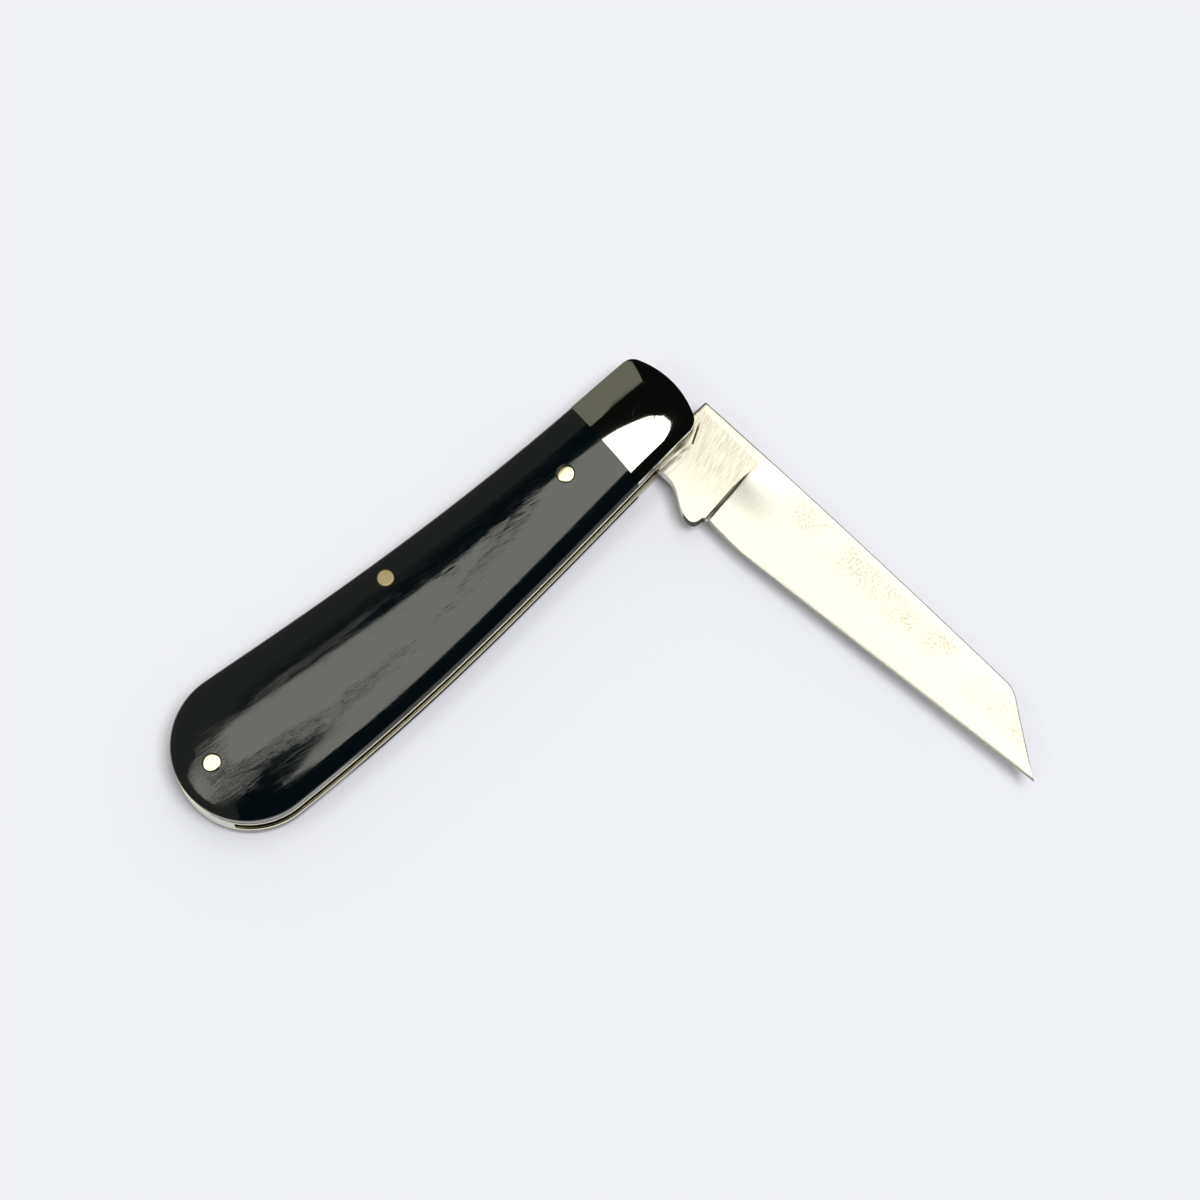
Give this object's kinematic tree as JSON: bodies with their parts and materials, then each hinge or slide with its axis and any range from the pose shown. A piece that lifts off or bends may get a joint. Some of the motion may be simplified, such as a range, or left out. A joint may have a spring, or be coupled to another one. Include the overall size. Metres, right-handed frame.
{
  "type": "folding pocket knife",
  "caption": "Slip-joint pocket knife with its straight-edged, clip-pointed blade held half open; teardrop handle of black scales, bright bolsters and brass liners.",
  "frame": {"origin": "where the pivot's axis meets the flat land of the mark side, the side that the knife lies on", "axes": "+Z along the pivot from the mark side to the pile side, +X towards the bolster end, +Y towards the back of the handle; the blade, stored at half stop, points along -Y"},
  "size_m": [0.0874, 0.0853, 0.0102],
  "materials": {
    "black_scale": "polished black horn or ebony with fine lengthwise grain",
    "nickel_silver": "mirror-polished nickel silver with fine handling scratches",
    "brass_liner": "filed and polished sheet brass",
    "brass_pin": "brass pin spun flush and polished",
    "blade_steel": "satin ground steel, scratched across the blade",
    "spring_steel": "hardened steel, filed and polished on the back"
  },
  "bodies": {
    "handle": {"backspring": "spring_steel", "pivot_pin": "nickel_silver", "centre_pin": "brass_pin", "butt_pin": "brass_pin", "pile_liner": "brass_liner", "pile_bolster": "nickel_silver", "pile_scale": "black_scale", "pile_front_rivet": "brass_pin", "pile_bolster_rivet_back": "nickel_silver", "pile_bolster_rivet_edge": "nickel_silver", "mark_liner": "brass_liner", "mark_bolster": "nickel_silver", "mark_scale": "black_scale", "mark_front_rivet": "brass_pin", "mark_bolster_rivet_back": "nickel_silver", "mark_bolster_rivet_edge": "nickel_silver"},
    "blade": {"blade": "blade_steel"}
  },
  "joints": [
    {"name": "blade_swing", "type": "hinge", "parent": "handle", "child": "blade", "pos_m": [0, 0, 0.0051], "axis": [0, 0, 1], "range_deg": [-90, 90], "deforming": ["backspring"]}
  ]
}
